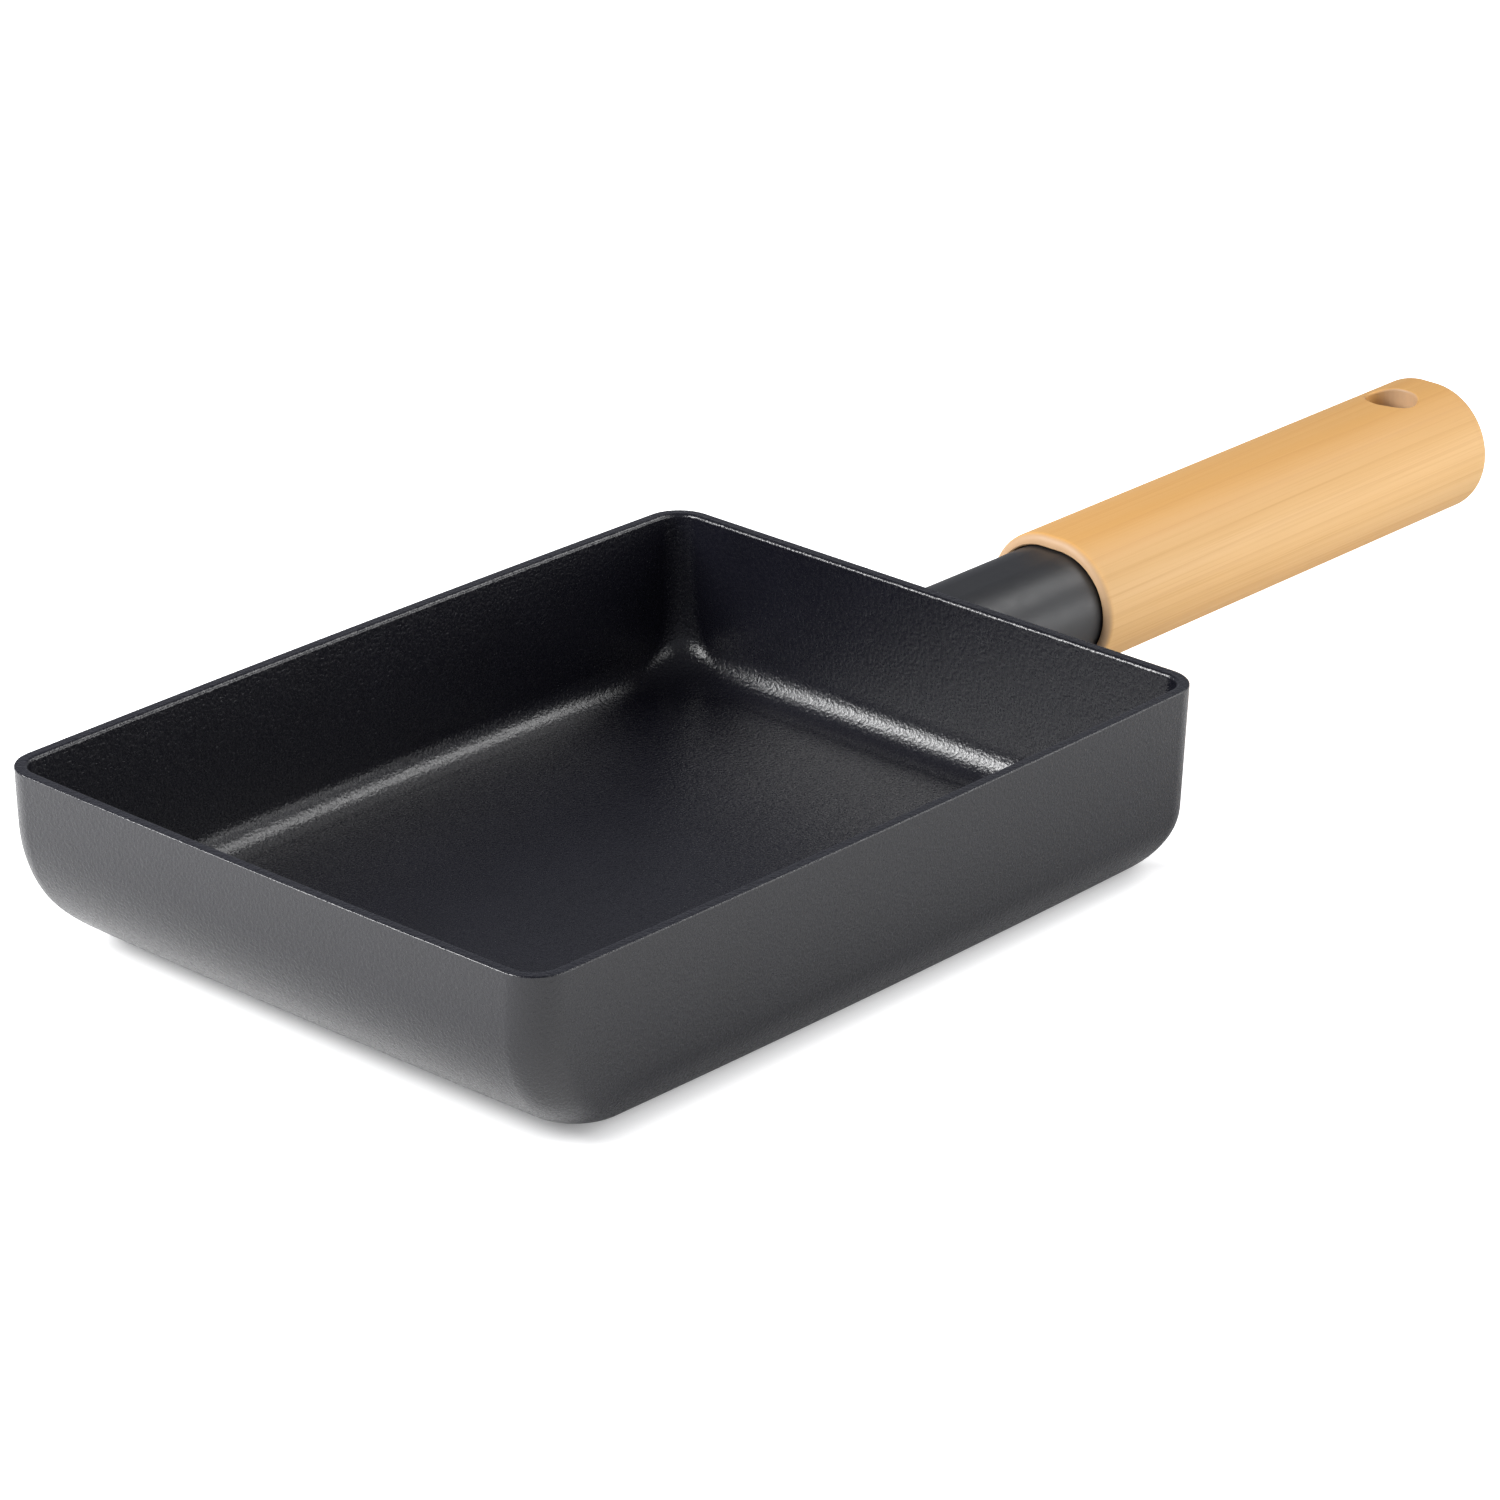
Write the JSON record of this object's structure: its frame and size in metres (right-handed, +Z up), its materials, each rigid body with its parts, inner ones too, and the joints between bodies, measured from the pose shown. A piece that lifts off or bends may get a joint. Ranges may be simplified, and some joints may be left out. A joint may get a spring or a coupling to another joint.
{
  "type": "egg pan",
  "caption": "Rectangular rolled-omelette pan with a dark non-stick coat, a rounded front wall, a black collar and an oval beech handle with a hang hole.",
  "frame": {"origin": "on the flat underside of the pan, below the middle of the rim", "axes": "+X from the front wall along the handle, +Y across the pan, +Z up through the open top"},
  "size_m": [0.344, 0.1344, 0.038],
  "materials": {
    "nonstick_aluminium": "cast aluminium under a fine-grained charcoal non-stick coat",
    "black_collar": "die-cast aluminium with a smooth satin black heat-proof paint",
    "beech": "turned beech, oiled, satin",
    "zinc_steel": "zinc-plated steel",
    "insert_brass": "turned brass"
  },
  "bodies": {
    "root": {"pan_body": "nonstick_aluminium", "handle_collar": "black_collar", "wooden_handle": "beech", "handle_stud": "zinc_steel", "flat_washer": "zinc_steel", "spring_washer": "zinc_steel", "hex_nut": "zinc_steel", "threaded_insert": "insert_brass"}
  },
  "joints": []
}
